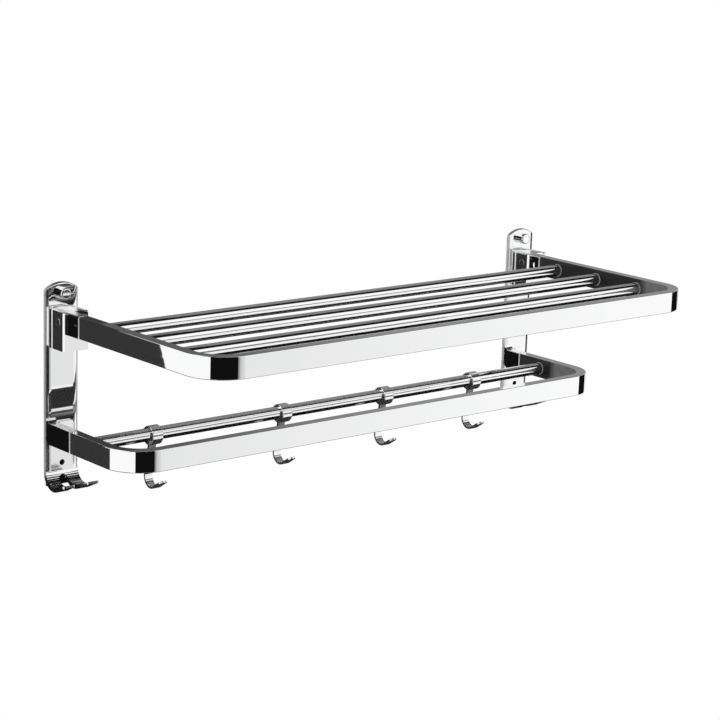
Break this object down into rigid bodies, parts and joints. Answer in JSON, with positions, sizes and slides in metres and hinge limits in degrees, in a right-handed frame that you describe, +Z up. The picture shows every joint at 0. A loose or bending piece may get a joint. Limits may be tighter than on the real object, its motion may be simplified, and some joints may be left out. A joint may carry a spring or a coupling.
{
  "type": "towel rack",
  "caption": "Wall towel rack: a fold-up shelf of flat tube and round rods above a fixed lower rail with sliding hooks, carried on two hooked wall brackets.",
  "frame": {"origin": "on the wall plane, midway between the two open lower fixing holes", "axes": "+X to the right along the wall as seen from the room, -Y out of the wall into the room, +Z up"},
  "size_m": [0.6002, 0.252, 0.1903],
  "materials": {
    "plate": "polished",
    "housing": "polished",
    "arm_end": "polished",
    "rail": "polished",
    "rod": "polished",
    "hook": "polished",
    "cap": "polished",
    "pin": "polished",
    "screw": "plain",
    "pad": "matt"
  },
  "bodies": {
    "wall_frame": {"left_bracket_plate": "plate", "left_wall_pad": "pad", "left_wall_screw": "screw", "left_screw_cap": "cap", "left_hinge_housing": "housing", "left_hinge_pin": "pin", "left_lower_stub": "arm_end", "right_bracket_plate": "plate", "right_wall_pad": "pad", "right_wall_screw": "screw", "right_screw_cap": "cap", "right_hinge_housing": "housing", "right_hinge_pin": "pin", "right_lower_stub": "arm_end", "lower_frame": "rail", "hook_rod": "rod"},
    "shelf": {"left_hinge_tongue": "arm_end", "right_hinge_tongue": "arm_end", "shelf_frame": "rail", "shelf_rod_rear": "rod", "shelf_rod_middle": "rod", "shelf_rod_front": "rod"},
    "hook_1_body": {"hook_1": "hook"},
    "hook_2_body": {"hook_2": "hook"},
    "hook_3_body": {"hook_3": "hook"},
    "hook_4_body": {"hook_4": "hook"}
  },
  "joints": [
    {"name": "shelf_fold", "type": "hinge", "parent": "wall_frame", "child": "shelf", "pos_m": [0, -0.024, 0.136], "axis": [-1, 0, 0], "range_deg": [0, 90]},
    {"name": "hook_1_slide", "type": "slide", "parent": "wall_frame", "child": "hook_1_body", "axis": [1, 0, 0], "range_m": [-0.06, 0.064]},
    {"name": "hook_2_slide", "type": "slide", "parent": "wall_frame", "child": "hook_2_body", "axis": [1, 0, 0], "range_m": [-0.066, 0.054]},
    {"name": "hook_3_slide", "type": "slide", "parent": "wall_frame", "child": "hook_3_body", "axis": [1, 0, 0], "range_m": [-0.054, 0.049]},
    {"name": "hook_4_slide", "type": "slide", "parent": "wall_frame", "child": "hook_4_body", "axis": [1, 0, 0], "range_m": [-0.049, 0.086]}
  ]
}
